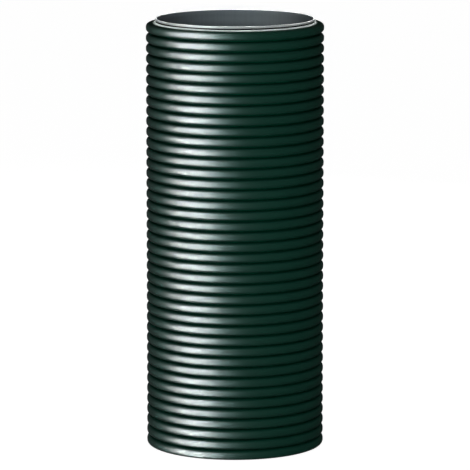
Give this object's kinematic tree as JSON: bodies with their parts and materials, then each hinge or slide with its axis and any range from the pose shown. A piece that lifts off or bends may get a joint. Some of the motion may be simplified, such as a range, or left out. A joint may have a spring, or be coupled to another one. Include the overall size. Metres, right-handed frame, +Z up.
{
  "type": "twin-wall drainage pipe",
  "caption": "Length of twin-wall corrugated plastic drainage pipe, a ribbed green outer wall on a smooth dark grey liner, standing on end.",
  "frame": {"origin": "centre of the lower end, on the pipe's axis and on the plane that it stands on", "axes": "+Z up the pipe's axis to the trimmed upper end; X and Y are free, as the pipe is turned about Z"},
  "size_m": [0.2, 0.1998, 0.4861],
  "materials": {
    "outer_wall": "satin",
    "inner_liner": "satin"
  },
  "bodies": {
    "root": {"outer_wall": "outer_wall", "inner_liner": "inner_liner"}
  },
  "joints": []
}
